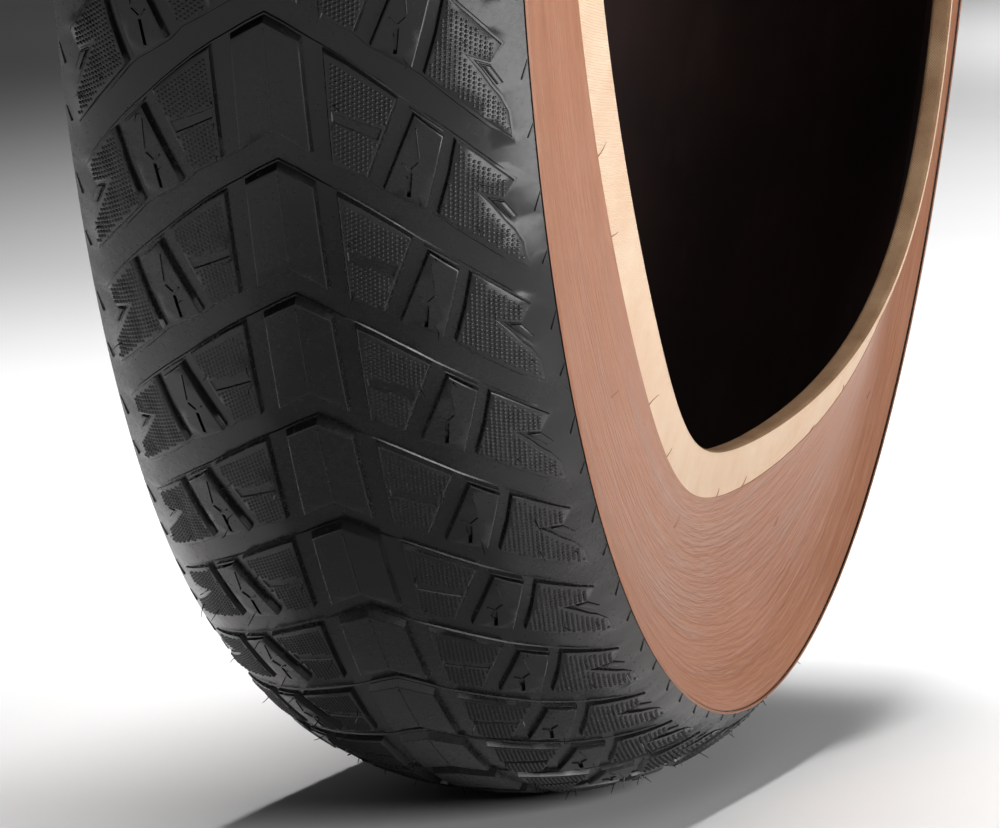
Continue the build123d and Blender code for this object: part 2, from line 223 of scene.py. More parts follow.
def waved(w, r, turn):
    """Section points moved as the soft wall lies at that turn, in radians. Arrays in, arrays out."""
    w, r, turn = np.broadcast_arrays(w, r, turn)
    t = np.clip((337.0 - r) / (337.0 - SEAT_RADIUS), 0.0, 1.1)
    soft = t * t * (3.0 - 2.0 * t) * 0.55 + 0.45 * t
    w, r = w.copy(), r.copy()
    for side, hoop, bends in ((1.0, LEFT_HOOP, LEFT_BENDS), (-1.0, RIGHT_HOOP, RIGHT_BENDS)):
        here = (w * side) > 0.0
        out = np.zeros_like(r)
        away = hoop[0] * np.cos(turn) + hoop[1] * np.sin(turn)
        for centre, spread, lateral, radial in bends:
            gap = (turn - math.radians(centre) + math.pi) % (2.0 * math.pi) - math.pi
            bell = np.exp(-0.5 * (gap / math.radians(spread)) ** 2)
            out = out + lateral * bell
            away = away + radial * bell
        w = np.where(here, w + side * out * soft, w)
        r = np.where(here, r + away * soft, r)
    return w, r


# ---- mesh making -------------------------------------------------------------------------------
def new_object(name, points, faces, material, smooth=40.0):
    """A mesh object from points in millimetres. Edges sharper than smooth degrees stay crisp."""
    mesh = bpy.data.meshes.new(name)
    mesh.from_pydata((np.asarray(points) * MM).tolist(), [], faces)
    mesh.materials.append(material)
    mesh.update()
    mesh.polygons.foreach_set("use_smooth", [True] * len(mesh.polygons))
    mesh.set_sharp_from_angle(angle=math.radians(smooth))
    obj = bpy.data.objects.new(name, mesh)
    bpy.context.scene.collection.objects.link(obj)
    return obj


def turned(loop, side=1.0, around=AROUND, clear=0.0):
    """Points and faces of a closed section carried round the axis and waved."""
    pts = np.array(loop)
    n = len(pts)
    turns = np.arange(around) * 2.0 * math.pi / around
    w, r = waved(pts[None, :, 0] * side, pts[None, :, 1], turns[:, None])
    xyz = np.stack([r * np.cos(turns[:, None]), w, r * np.sin(turns[:, None])], axis=2).reshape(-1, 3)
    i = np.arange(around)[:, None]
    j = np.arange(n)[None, :]
    a = i * n + j
    b = i * n + (j + 1) % n
    c = ((i + 1) % around) * n + (j + 1) % n
    d = ((i + 1) % around) * n + j
    quads = np.stack([a, d, c, b] if area(pts) * side > 0 else [a, b, c, d], axis=2).reshape(-1, 4)
    return xyz, quads.tolist()


def area(loop):
    pts = np.asarray(loop)
    nxt = np.roll(pts, -1, axis=0)
    return 0.5 * float(np.sum(pts[:, 0] * nxt[:, 1] - nxt[:, 0] * pts[:, 1]))


# ---- tread --------------------------------------------------------------------------------------
def section_at(w, h):
    """Half width and radius of a point h over the plain tread. Arrays."""
    size = np.abs(w)
    crown = size <= SHOULDER_START
    c0 = np.where(crown, CROWN_C[0], SHOULDER_C[0])
    c1 = np.where(crown, CROWN_C[1], SHOULDER_C[1])
    rad = np.where(crown, CROWN_CURVE, SHOULDER_CURVE)
    r = c1 + np.sqrt(np.maximum(rad**2 - (size - c0) ** 2, 0.0))
    n0, n1 = (size - c0) / rad, (r - c1) / rad
    return np.sign(w) * (size + h * n0), r + h * n1


def depth(w):
    """How far the main groove lies below the plain tread."""
    size = abs(w)
    middle = 0.7 * math.exp(-((size / 10.0) ** 4))
    fade = max(0.0, (size - 28.0) / 32.5)
    return (1.9 + middle) * max(0.0, 1.0 - fade**2.2)


def on_floor(w, b):
    return -depth(w)


def on_row(w, b):
    return -0.8 * depth(w)


def inset(loop, gaps):
    """The loop, anticlockwise, with each edge moved inwards by its gap."""
    n = len(loop)
    pts = np.array(loop, dtype=float)
    if not isinstance(gaps, (list, tuple)):
        gaps = [gaps] * n
    result = []
    for i in range(n):
        p, q, s = pts[i - 1], pts[i], pts[(i + 1) % n]
        d1, d2 = q - p, s - q
        d1, d2 = d1 / np.linalg.norm(d1), d2 / np.linalg.norm(d2)
        n1, n2 = np.array([-d1[1], d1[0]]), np.array([-d2[1], d2[0]])
        g1, g2 = gaps[i - 1], gaps[i]
        cross = d1[0] * d2[1] - d1[1] * d2[0]
        if abs(cross) < 0.05:
            result.append(tuple(q + (n1 * g1 + n2 * g2) * 0.5))
            continue
        a, c = q + n1 * g1, q + n2 * g2
        t = ((c - a)[0] * d2[1] - (c - a)[1] * d2[0]) / cross
        result.append(tuple(a + d1 * t))
    return result


def split(loops, size=4.5):
    """Adds the same number of points to matching edges of several loops."""
    first = loops[0]
    n = len(first)
    result = [[] for _ in loops]
    for i in range(n):
        length = math.dist(first[i], first[(i + 1) % n])
        count = max(1, round(length / size))
        for out, loop in zip(result, loops):
            a, b = loop[i], loop[(i + 1) % n]
            for k in range(count):
                out.append((a[0] + (b[0] - a[0]) * k / count, a[1] + (b[1] - a[1]) * k / count))
    return result


def inside(points, loop):
    """Which of the points lie in the loop."""
    x, y = points[:, 0], points[:, 1]
    hit = np.zeros(len(points), dtype=bool)
    n = len(loop)
    for i in range(n):
        (x0, y0), (x1, y1) = loop[i], loop[(i + 1) % n]
        if y0 == y1:
            continue
        crosses = (y0 > y) != (y1 > y)
        hit ^= crosses & (x < (x1 - x0) * (y - y0) / (y1 - y0) + x0)
    return hit


class Sheet:
    """Collects the pattern of one row as points (w, b, h) and faces."""

    def __init__(self):
        self.points = []
        self.known = {}
        self.faces = []

    def point(self, w, b, h):
        key = (round(w, 4), round(b, 4), round(h, 4))
        if key not in self.known:
            self.known[key] = len(self.points)
            self.points.append((w, b, h))
        return self.known[key]

    def ring(self, loop, height):
        return [self.point(w, b, height(w, b)) for w, b in loop]

    def wall(self, low, high):
        """Quads between two matching rings of point numbers, low outside."""
        n = len(low)
        for i in range(n):
            j = (i + 1) % n
            quad = [low[i], low[j], high[j], high[i]]
            if len(set(quad)) > 2:
                self.faces.append([v for k, v in enumerate(quad) if v not in quad[:k]])

    def fill(self, outer, holes, height, size=4.5):
        """Triangles between the outer loop and the holes."""
        low = np.min(outer, axis=0)
        high = np.max(outer, axis=0)
        nx = max(2, int((high[0] - low[0]) / size))
        ny = max(2, int((high[1] - low[1]) / size))
        margin = 1.0  # the grid stops short of the loop's own edge, so that none of its points lies on it
        columns = np.linspace(low[0] + margin, high[0] - margin, nx + 1)
        lines = np.linspace(low[1] + margin, high[1] - margin, ny + 1)
        xs, ys = np.meshgrid(columns, lines)
        grid = np.stack([xs.ravel(), ys.ravel()], axis=1)
        keep = inside(grid, outer)
        for hole in holes:
            keep &= ~inside(grid, hole)
        grid = grid[keep]
        edges, verts = [], []
        for loop in [outer] + holes:
            start = len(verts)
            verts += [tuple(p) for p in loop]
            edges += [(start + i, start + (i + 1) % len(loop)) for i in range(len(loop))]
        rim = np.array(verts)
        if len(grid):
            near = np.min(np.linalg.norm(grid[:, None, :] - rim[None, :, :], axis=2), axis=1)
            grid = grid[near > 0.45 * size]
        verts += [tuple(p) for p in grid]
        out = delaunay_2d_cdt([Vector(v) for v in verts], edges, [], 0, 1e-5)
        co = np.array([tuple(v) for v in out[0]])
        tris = np.array([f[:3] for f in out[2]])
        centres = co[tris].mean(axis=1)
        u, v = co[tris[:, 1]] - co[tris[:, 0]], co[tris[:, 2]] - co[tris[:, 0]]
        keep = inside(centres, outer) & (np.abs(u[:, 0] * v[:, 1] - u[:, 1] * v[:, 0]) > 1e-3)
        for hole in holes:
            keep &= ~inside(centres, hole)
        back = [group[0] if group else -1 for group in out[3]]
        ids = []
        for k in range(len(co)):
            w, b = verts[back[k]] if back[k] >= 0 else co[k]
            ids.append(self.point(w, b, height(w, b)))
        for tri in tris[keep]:
            self.faces.append([ids[v] for v in tri])

    def raised(self, top, drafts, base, lift=0.0, edge=0.28, inner=(), size=4.5):
        """A block: its foot on base, its top at lift, with a small round on its upper edge. Returns the foot."""
        foot = inset(top, [-d for d in drafts])
        brim = inset(top, edge)
        foot, lip, brim = split([foot, top, brim], size)
        low = self.ring(foot, base)
        mid = self.ring(lip, lambda w, b: lift - 0.55 * edge)
        high = self.ring(brim, lambda w, b: lift)
        self.wall(low, mid)
        self.wall(mid, high)
        self.fill(brim, [list(h) for h in inner], lambda w, b: lift, size)
        return foot

    def sunk(self, mouth, down, draft=0.08, lift=0.0):
        """A slit or shallow recess in a face at lift. The mouth is a hole of that face."""
        bottom = inset(mouth, draft)
        mouth, bottom = split([mouth, bottom], 3.0)
        high = self.ring(mouth, lambda w, b: lift)
        low = self.ring(bottom, lambda w, b: lift - down)
        self.wall(high, low)
        self.fill(bottom, [], lambda w, b: lift - down)
        return mouth


def stroke(points, width):
    """A thin closed loop round an open line, anticlockwise."""
    left, right = [], []
    pts = np.array(points, dtype=float)
    for i in range(len(pts)):
        d = pts[min(i + 1, len(pts) - 1)] - pts[max(i - 1, 0)]
        d /= np.linalg.norm(d)
        side = np.array([-d[1], d[0]]) * width * 0.5
        left.append(tuple(pts[i] + side))
        right.append(tuple(pts[i] - side))
    return right + left[::-1]


def mirror(loop):
    return [(-w, b) for w, b in reversed(loop)]


# The row's leading edge, then each block's top on the left half, all anticlockwise.
LEAD = [(0.0, -0.3), (4.7, 2.3), (8.8, 4.9)]
RIB_LEAD = [(0.0, 1.3), (4.7, 4.0), (8.6, 6.6)]
RIB_BACK = [(9.0, 37.5), (4.5, 34.2), (0.0, 31.2)]
INNER_BLOCK = [(14.6, 9.4), (19.8, 13.2), (24.2, 17.1), (28.7, 21.3), (31.0, 23.7), (26.6, 34.4),
               (22.1, 45.4), (14.3, 40.6)]
LEDGE = [(34.1, 27.1), (37.3, 30.4), (41.2, 34.9), (41.0, 35.5), (34.7, 28.2)]
Y_BLOCK = [(34.9, 29.1), (40.9, 36.4), (38.5, 45.5), (35.3, 56.5), (26.0, 49.5)]
OUTER_BLOCK = [(43.8, 38.4), (45.5, 40.4), (49.4, 46.2), (53.2, 52.5), (55.1, 55.9), (52.5, 60.0),
               (47.6, 56.1), (50.1, 61.2), (52.2, 66.6), (54.0, 70.8), (55.4, 76.2), (55.6, 83.9),
               (51.8, 77.8), (47.9, 71.9), (42.9, 65.2), (38.1, 59.0), (41.4, 48.6)]
ROW_EDGE = LEAD + [(14.6, 8.6), (19.8, 12.6), (24.2, 16.5), (28.7, 20.7), (33.0, 25.1), (37.3, 29.5),
                   (41.4, 34.2), (45.6, 39.6), (49.6, 45.5), (53.5, 51.8), (55.8, 55.9), (52.8, 60.9),
                   (49.2, 58.1), (50.7, 61.2), (52.8, 66.6), (54.6, 70.8), (56.0, 76.2), (56.1, 85.9),
                   (51.4, 78.6), (47.5, 72.7), (42.5, 65.9), (37.9, 59.9), (35.2, 57.3), (25.6, 50.2),
                   (21.9, 46.1), (14.0, 41.2), (9.2, 38.2), (4.5, 34.9), (0.0, 31.9)]
BARE_BAND = [(15.1, 25.9), (18.2, 27.6), (22.9, 29.8), (27.0, 31.8), (25.7, 34.9), (22.5, 33.1),
             (17.9, 30.5), (15.1, 28.9)]
PLATE = [(50.6, 59.9), (52.8, 61.5), (54.9, 67.1), (53.7, 67.1), (51.6, 61.9)]


def tile_line(offset):
    """The line between two rows, in the groove: sampled so that rows meet point to point."""
    widths = [-EDGE + 2.0 * EDGE * i / 40 for i in range(41)]
    stations = [0, 9, 18.5, 28.5, 41.4, 55.1, EDGE]
    back = np.interp(np.abs(widths), stations, [-4.6, 1.6, 8.6, 16.6, 30.0, 50.6, 60.4])
    return [(w, float(b) + offset) for w, b in zip(widths, back)]


def make_row():
    """One row of the pattern, from the line ahead of it to the line ahead of the next."""
    sheet = Sheet()
    ahead, behind = tile_line(0.0), tile_line(STEP)
    right_side = [(EDGE, ahead[-1][1] + STEP * i / 8) for i in range(1, 8)]
    left_side = [(-EDGE, ahead[0][1] + STEP * i / 8) for i in range(1, 8)]
    outer = ahead + right_side + behind[::-1] + left_side[::-1]
    band_half = ROW_EDGE
    band = band_half + mirror(band_half)[1:-1]
    foot = inset(band, -0.25)
    foot, lip = split([foot, band])
    low = sheet.ring(foot, on_floor)
    high = sheet.ring(lip, on_row)
    sheet.wall(low, high)
    floor_holes = [foot]
    row_holes = []
    for flip in (False, True):
        turn = mirror if flip else (lambda loop: list(loop))
        gaps = (lambda g: [g[(len(g) - 2 - i) % len(g)] for i in range(len(g))]) if flip else (lambda g: list(g))
        band_hole = turn(BARE_BAND)
        mouth = sheet.sunk(band_hole, 0.35, 0.3)
        drafts = [0.2, 0.12, 0.12, 0.12, 0.9, 0.9, 0.1, 0.5]
        row_holes.append(sheet.raised(turn(INNER_BLOCK), gaps(drafts), on_row, inner=[mouth]))
        stem = sheet.sunk(turn(stroke([(32.6, 45.2), (32.1, 49.0), (31.6, 52.2)], 0.95)), 1.3, 0.12)
        arm_a = turn(stroke([(32.3, 44.2), (31.0, 42.2)], 0.34))
        arm_b = turn(stroke([(32.9, 44.2), (34.8, 42.6)], 0.34))
        line = turn(stroke([(34.9, 32.6), (35.0, 41.4)], 0.2))
        row_holes.append(sheet.raised(turn(LEDGE), [0.06] * 5, on_row, -0.55, 0.1))
        bars = [sheet.raised(s, [0.04] * len(s), lambda w, b: 0.0, 0.3, 0.06) for s in (arm_a, arm_b, line)]
        drafts = [0.15, 0.6, 0.6, 0.12, 0.35]
        row_holes.append(sheet.raised(turn(Y_BLOCK), gaps(drafts), on_row, inner=[stem] + bars))
        drafts = [0.1] * 15 + [0.35, 0.35]
        row_holes.append(sheet.raised(turn(OUTER_BLOCK), gaps(drafts), on_row))
        floor_holes.append(sheet.raised(turn(PLATE), [0.12] * len(PLATE), on_floor, -0.35, 0.12))
        for mark in ([(59.9, 63.0), (58.5, 68.3)], [(59.9, 82.6), (58.7, 86.2)]):
            loop = turn(stroke(mark, 0.2))
            floor_holes.append(sheet.raised(loop, [0.05] * len(loop), on_floor, 0.08, 0.04))
    rib = RIB_LEAD + RIB_BACK
    rib = rib + mirror(rib)[1:-1]
    spine = stroke([(0.0, 3.2), (0.0, 29.5)], 0.3)
    spine = sheet.raised(spine, [0.05] * 4, lambda w, b: 0.0, 0.22, 0.06)
    drafts = [1.0, 1.0, 0.6, 0.1, 0.1] + [0.1, 0.1, 0.6, 1.0, 1.0]
    row_holes.append(sheet.raised(rib, drafts, on_row, inner=[spine]))
    sheet.fill(lip, row_holes, on_row)
    sheet.fill(outer, floor_holes, on_floor)
    first = [sheet.point(w, b, on_floor(w, b)) for w, b in ahead]
    last = [sheet.point(w, b, on_floor(w, b)) for w, b in behind]
    right = [first[-1]] + [sheet.point(w, b, on_floor(w, b)) for w, b in right_side] + [last[-1]]
    left = [first[0]] + [sheet.point(w, b, on_floor(w, b)) for w, b in left_side] + [last[0]]
    return sheet, first, last, right, left


def place(points, row):
    """Row points to millimetres in the tyre's frame."""
    pts = np.asarray(points, dtype=float)
    w, r = section_at(pts[:, 0], pts[:, 2])
    turn = PHASE - (pts[:, 1] + row * STEP) / CROWN_RADIUS
    return np.stack([r * np.cos(turn), w, r * np.sin(turn)], axis=1)


def make_tread(material):
    sheet, first, last, right, left = make_row()
    n = len(sheet.points)
    keep = [i for i in range(n) if i not in set(last)]
    slot_of = {old: new for new, old in enumerate(keep)}
    size = len(keep)
    points = [place([sheet.points[i] for i in keep], row) for row in range(PITCHES)]
    faces = []
    for row in range(PITCHES):
        ahead = ((row + 1) % PITCHES) * size
        ids = {i: row * size + slot_of[i] for i in keep}
        for a, b in zip(last, first):
            ids[a] = ahead + slot_of[b]
        faces += [[ids[v] for v in reversed(f)] for f in sheet.faces]
    total = PITCHES * size
    # The under side follows the casing, and closes the tread's lower edges.
    fold_in = towards(CASING_C, CASING_R, FOLD_C)
    foot = towards(FOLD_C, FOLD_R, CORNER)
    half = arc(CROWN_C, CASING_CROWN, (0.0, CROWN_C[1] + CASING_CROWN), CASING_JOINT, 5.0)
    half += arc(CASING_C, CASING_R, CASING_JOINT, fold_in, 5.0)
    half += arc(FOLD_C, FOLD_R, fold_in, foot, 1.5) + [foot]
    under = [(-w, r) for w, r in reversed(half[1:])] + half
    m = len(under)
    edge_b = [sheet.points[i][1] for i in right[:-1]]
    turns = np.array([PHASE - (b + row * STEP) / CROWN_RADIUS for row in range(PITCHES) for b in edge_b])
    pts = np.array(under)
    r, w = pts[None, :, 1] + 0.0 * turns[:, None], pts[None, :, 0] + 0.0 * turns[:, None]
    points.append(np.stack([r * np.cos(turns[:, None]), w, r * np.sin(turns[:, None])], axis=2).reshape(-1, 3))
    rings = len(turns)
    for k in range(rings):
        k2 = (k + 1) % rings
        for j in range(m - 1):
            faces.append([total + k * m + j, total + k * m + j + 1, total + k2 * m + j + 1, total + k2 * m + j])
        row, i = divmod(k, 8)
        row2, i2 = divmod(k2, 8)
        a, b = row * size + slot_of[right[i]], row2 * size + slot_of[right[i2]]
        faces.append([total + k * m + m - 1, a, b, total + k2 * m + m - 1])
        a, b = row * size + slot_of[left[i]], row2 * size + slot_of[left[i2]]
        faces.append([total + k * m, total + k2 * m, b, a])
    return new_object("tread", np.concatenate(points), faces, material, 28.0)


def make_dots(material):
    """The raised grain on the inner and outer blocks, as small rounded points."""
    inner = inset(INNER_BLOCK, [2.0, 1.5, 1.4, 1.3, 0.5, 0.5, 0.5, 0.6])
    outer = inset(OUTER_BLOCK, [0.95] * 4 + [0.5] * 13)
    bare = inset(BARE_BAND, [-0.25] * len(BARE_BAND))
    spots = []
    for i in range(-10, 60):
        for k in range(-60, 80):
            spots.append((8.0 + 1.02 * i - 0.12 * k, 6.4 + 0.84 * i + 1.33 * k))
    spots = np.array(spots)
    keep = (inside(spots, inner) & ~inside(spots, bare)) | inside(spots, outer)
    spots = spots[keep]
    ring = 6
    one = []
    for w, b in spots:
        for side in (1.0, -1.0):
            for k in range(ring):
                turn = 2.0 * math.pi * (k + 0.5) / ring
                one.append((side * (w + 0.5 * math.cos(turn)), b + 0.6 * math.sin(turn), -0.03))
            one.append((side * w, b, 0.42))
    count = len(spots) * 2
    local = []
    for s in range(count):
        base = s * (ring + 1)
        flip = s % 2 == 0
        for k in range(ring):
            a, b, top = base + k, base + (k + 1) % ring, base + ring
            local.append([b, a, top] if flip else [a, b, top])
    local = np.array(local)
    points = np.concatenate([place(one, row) for row in range(PITCHES)])
    faces = np.concatenate([local + row * len(one) for row in range(PITCHES)])
    return new_object("tread_grain", points, faces.tolist(), material, 89.0)


def hair(points, faces, root, way, length, thick):
    """Adds one tapered, slightly curved rubber hair. All in millimetres."""
    way = Vector(way).normalized()
    side = way.orthogonal().normalized()
    other = way.cross(side)
    bend = (side * rng.uniform(-1, 1) + other * rng.uniform(-1, 1)) * 0.25 * length
    start = len(points)
    for i, share in enumerate((-0.1, 0.35, 0.7, 1.0)):
        middle = Vector(root) + way * length * share + bend * share * share
        radius = thick * (1.0, 0.85, 0.7, 0.45)[i]
        for k in range(5):
            turn = 2.0 * math.pi * k / 5
            points.append(tuple(middle + side * radius * math.cos(turn) + other * radius * math.sin(turn)))
    for i in range(3):
        for k in range(5):
            a, b = start + i * 5 + k, start + i * 5 + (k + 1) % 5
            faces.append([a, b, b + 5, a + 5])
    faces.append([start + 15 + k for k in range(5)])
    faces.append([start + 4 - k for k in range(5)])


def make_hairs(material):
    """The vent hairs that the mould leaves on the blocks."""
    points, faces = [], []
    places = [(15.6, 24.2), (15.4, 30.4), (15.2, 39.8), (28.0, 30.6), (36.0, 31.6), (34.2, 55.4), (31.6, 46.6),
              (47.5, 53.0), (46.5, 66.0), (53.6, 75.0)]
    for row in range(PITCHES):
        for side in (1.0, -1.0):
            for w, b in places:
                if rng.random() < 0.45:
                    continue
                w2, b2 = side * (w + rng.uniform(-0.4, 0.4)), b + rng.uniform(-0.5, 0.5)
                lift = -depth(w2) if w > 56.0 else 0.0
                root, tip = place([(w2, b2, lift), (w2, b2, lift + 5.0)], row)
                way = (tip - root) / 5.0
                lean = Vector((rng.uniform(-1, 1), rng.uniform(-1, 1), rng.uniform(-1, 1))) * 0.55
                hair(points, faces, root, Vector(way) + lean, rng.choice((0.9, 1.4, 2.0, 2.8, 3.6)), 0.15)
    return new_object("vent_hairs", points, faces, material, 60.0)


def make_skin_hairs(name, side, material):
    """Tan hairs of skin rubber: a few on the wall and some that cross the woven strip."""
    points, faces = [], []
    for i in range(46):
        turn = 2.0 * math.pi * (i + rng.uniform(-0.35, 0.35)) / 46
        radius = 291.3 if i % 3 else rng.uniform(300.0, 328.0)
        w, r = level(LOWER_C, LOWER_R - 0.75, radius)
        w, r = waved(np.array(side * w), np.array(r), np.array(turn))
        root = (float(r) * math.cos(turn), float(w), float(r) * math.sin(turn))
        inward = Vector((-math.cos(turn), side * 0.5, -math.sin(turn)))
        along = Vector((-math.sin(turn), 0.0, math.cos(turn))) * rng.uniform(-0.5, 0.5)
        hair(points, faces, root, inward + along, rng.uniform(2.4, 4.4), 0.16)
    return new_object(name, points, faces, material, 60.0)


# ---- materials ---------------------------------------------------------------------------------
class Nodes:
    """Short names for building one material's node tree."""

    def __init__(self, name, roughness, **sockets):
        self.mat = bpy.data.materials.new(name)
        self.mat.use_nodes = True
        self.tree = self.mat.node_tree
        self.bsdf = self.tree.nodes["Principled BSDF"]
        self.bsdf.inputs["Roughness"].default_value = roughness
        for key, value in sockets.items():
            self.bsdf.inputs[key.replace("_", " ")].default_value = value
        coords = self.tree.nodes.new("ShaderNodeTexCoord")
        self.place = coords.outputs["Object"]

    def math(self, op, a, b=0.0, c=0.0):
        node = self.tree.nodes.new("ShaderNodeMath")
        node.operation = op
        for socket, value in zip(node.inputs, (a, b, c)):
            if isinstance(value, (int, float)):
                socket.default_value = value
            else:
                self.tree.links.new(value, socket)
        return node.outputs[0]

    def polar(self):
        """Angle round the spin axis in metres along the wall, radius, and half width."""
        split_node = self.tree.nodes.new("ShaderNodeSeparateXYZ")
        self.tree.links.new(self.place, split_node.inputs[0])
        x, y, z = split_node.outputs
        turn = self.math("ARCTAN2", z, x)
        radius = self.math("SQRT", self.math("ADD", self.math("MULTIPLY", x, x), self.math("MULTIPLY", z, z)))
        return self.math("MULTIPLY", turn, 0.31), radius, y

    def combine(self, x, y, z):
        node = self.tree.nodes.new("ShaderNodeCombineXYZ")
        for socket, value in zip(node.inputs, (x, y, z)):
            if isinstance(value, (int, float)):
                socket.default_value = value
            else:
                self.tree.links.new(value, socket)
        return node.outputs[0]

    def noise(self, scale, detail=3.0, rough=0.5, where=None, distortion=0.0):
        node = self.tree.nodes.new("ShaderNodeTexNoise")
        node.inputs["Scale"].default_value = scale
        node.inputs["Detail"].default_value = detail
        node.inputs["Roughness"].default_value = rough
        node.inputs["Distortion"].default_value = distortion
        self.tree.links.new(where or self.place, node.inputs["Vector"])
        return node.outputs["Fac"]

    def ramp(self, value, *stops):
        node = self.tree.nodes.new("ShaderNodeValToRGB")
        items = node.color_ramp.elements
        while len(items) < len(stops):
            items.new(0.5)
        for item, (at, colour) in zip(items, stops):
            item.position = at
            item.color = (*colour, 1.0) if not isinstance(colour, float) else (colour, colour, colour, 1.0)
        self.tree.links.new(value, node.inputs["Fac"])
        return node.outputs["Color"]

    def mix(self, factor, a, b, blend="MIX"):
        node = self.tree.nodes.new("ShaderNodeMix")
        node.data_type = "RGBA"
        node.blend_type = blend
        for socket, value in ((node.inputs["Factor"], factor), (node.inputs["A"], a), (node.inputs["B"], b)):
            if isinstance(value, (int, float)):
                socket.default_value = value
            elif isinstance(value, tuple):
                socket.default_value = (*value, 1.0)
            else:
                self.tree.links.new(value, socket)
        return node.outputs["Result"]

    def finish(self, colour, roughness=None, bumps=()):
        self.tree.links.new(colour, self.bsdf.inputs["Base Color"])
        if roughness is not None:
            self.tree.links.new(roughness, self.bsdf.inputs["Roughness"])
        normal = None
        for height, distance, strength in bumps:
            node = self.tree.nodes.new("ShaderNodeBump")
            node.inputs["Distance"].default_value = distance
            node.inputs["Strength"].default_value = strength
            self.tree.links.new(height, node.inputs["Height"])
            if normal is not None:
                self.tree.links.new(normal, node.inputs["Normal"])
            normal = node.outputs["Normal"]
        if normal is not None:
            self.tree.links.new(normal, self.bsdf.inputs["Normal"])
        return self.mat


def black_rubber():
    n = Nodes("black_rubber", 0.3, Specular_IOR_Level=0.45)
    cloud = n.noise(22.0, 4.0, 0.6)
    fine = n.noise(700.0, 3.0, 0.6)
    colour = n.ramp(cloud, (0.3, (0.0045, 0.0042, 0.0046)), (0.7, (0.0085, 0.008, 0.0085)))
    colour = n.mix(n.ramp(n.noise(90.0, 5.0, 0.7), (0.55, 0.0), (0.8, 0.35)), colour, (0.016, 0.0145, 0.0145))
    rough = n.ramp(n.mix(0.5, cloud, fine), (0.35, 0.2), (0.65, 0.31))
    return n.finish(colour, rough, [(fine, 0.00004, 0.3), (cloud, 0.001, 0.2)])


def tan_rubber():
    n = Nodes("tan_rubber", 0.5, Specular_IOR_Level=0.4)
    along, radius, width = n.polar()
    streaks = n.noise(1.0, 4.0, 0.6, n.combine(n.math("MULTIPLY", along, 9.0),
                                               n.math("MULTIPLY", radius, 260.0),
                                               n.math("MULTIPLY", width, 60.0)))
    cords = n.noise(1.0, 2.0, 0.5, n.combine(n.math("MULTIPLY", along, 60.0),
                                             n.math("MULTIPLY", radius, 900.0), 0.0))
    mottle = n.noise(34.0, 5.0, 0.65, distortion=0.6)
    base = n.ramp(streaks, (0.30, (0.34, 0.142, 0.078)), (0.5, (0.39, 0.17, 0.097)), (0.7, (0.42, 0.20, 0.122)))
    base = n.mix(n.ramp(mottle, (0.42, 0.0), (0.72, 0.5)), base, (0.36, 0.142, 0.066))
    base = n.mix(n.ramp(cords, (0.52, 0.0), (0.75, 0.3)), base, (0.50, 0.265, 0.17))
    rough = n.ramp(streaks, (0.3, 0.42), (0.7, 0.6))
    fine = n.noise(520.0, 3.0, 0.6)
    return n.finish(base, rough, [(cords, 0.0006, 0.5), (streaks, 0.0012, 0.5), (fine, 0.0002, 0.3)])


def cream_cloth():
    n = Nodes("cream_cloth", 0.8, Specular_IOR_Level=0.25, Sheen_Weight=0.15)
    along, radius, width = n.polar()
    across = n.math("ADD", radius, n.math("MULTIPLY", width, 0.6))
    one = n.math("SINE", n.math("MULTIPLY", along, 6300.0))
    two = n.math("SINE", n.math("MULTIPLY", across, 7200.0))
    weave = n.math("MULTIPLY", one, two)
    grime = n.noise(60.0, 4.0, 0.6)
    shade = n.ramp(grime, (0.3, (0.86, 0.60, 0.41)), (0.7, (0.94, 0.73, 0.54)))
    colour = n.mix(n.ramp(weave, (0.0, 0.25), (0.6, 0.0)), shade, (0.66, 0.42, 0.26))
    return n.finish(colour, None, [(weave, 0.0003, 0.5), (grime, 0.001, 0.3)])


def dark_liner():
    n = Nodes("dark_liner", 0.72, Specular_IOR_Level=0.3)
    along, radius, width = n.polar()
    cloud = n.noise(18.0, 4.0, 0.6)
    rubbed = n.noise(1.0, 3.0, 0.6, n.combine(n.math("MULTIPLY", along, 20.0),
                                              n.math("MULTIPLY", radius, 90.0),
                                              n.math("MULTIPLY", width, 90.0)))
    colour = n.ramp(cloud, (0.3, (0.016, 0.0065, 0.0055)), (0.7, (0.034, 0.014, 0.012)))
    colour = n.mix(n.ramp(rubbed, (0.55, 0.0), (0.8, 0.5)), colour, (0.055, 0.030, 0.026))
    return n.finish(colour, None, [(rubbed, 0.0008, 0.4)])


def painted_shade_cloth():
    """The cloth of the bead's base and inner face, its cream painted dark brown as painted shade."""
    n = Nodes("painted_shade_cloth", 0.7, Specular_IOR_Level=0.3)
    along, radius, width = n.polar()
    weave = n.math("MULTIPLY", n.math("SINE", n.math("MULTIPLY", along, 6300.0)),
                   n.math("SINE", n.math("MULTIPLY", width, 7200.0)))
    shade_mottle = n.noise(45.0, 5.0, 0.65)
    # Painted shade: these brown tones stand in for the cream cloth lying in shade, varied at random by the
    # mottle.
    colour = n.ramp(shade_mottle, (0.3, (0.20, 0.105, 0.05)), (0.5, (0.30, 0.17, 0.085)), (0.75, (0.42, 0.27, 0.15)))
    colour = n.mix(n.ramp(weave, (0.0, 0.3), (0.6, 0.0)), colour, (0.17, 0.09, 0.045))
    return n.finish(colour, None, [(weave, 0.0003, 0.4)])


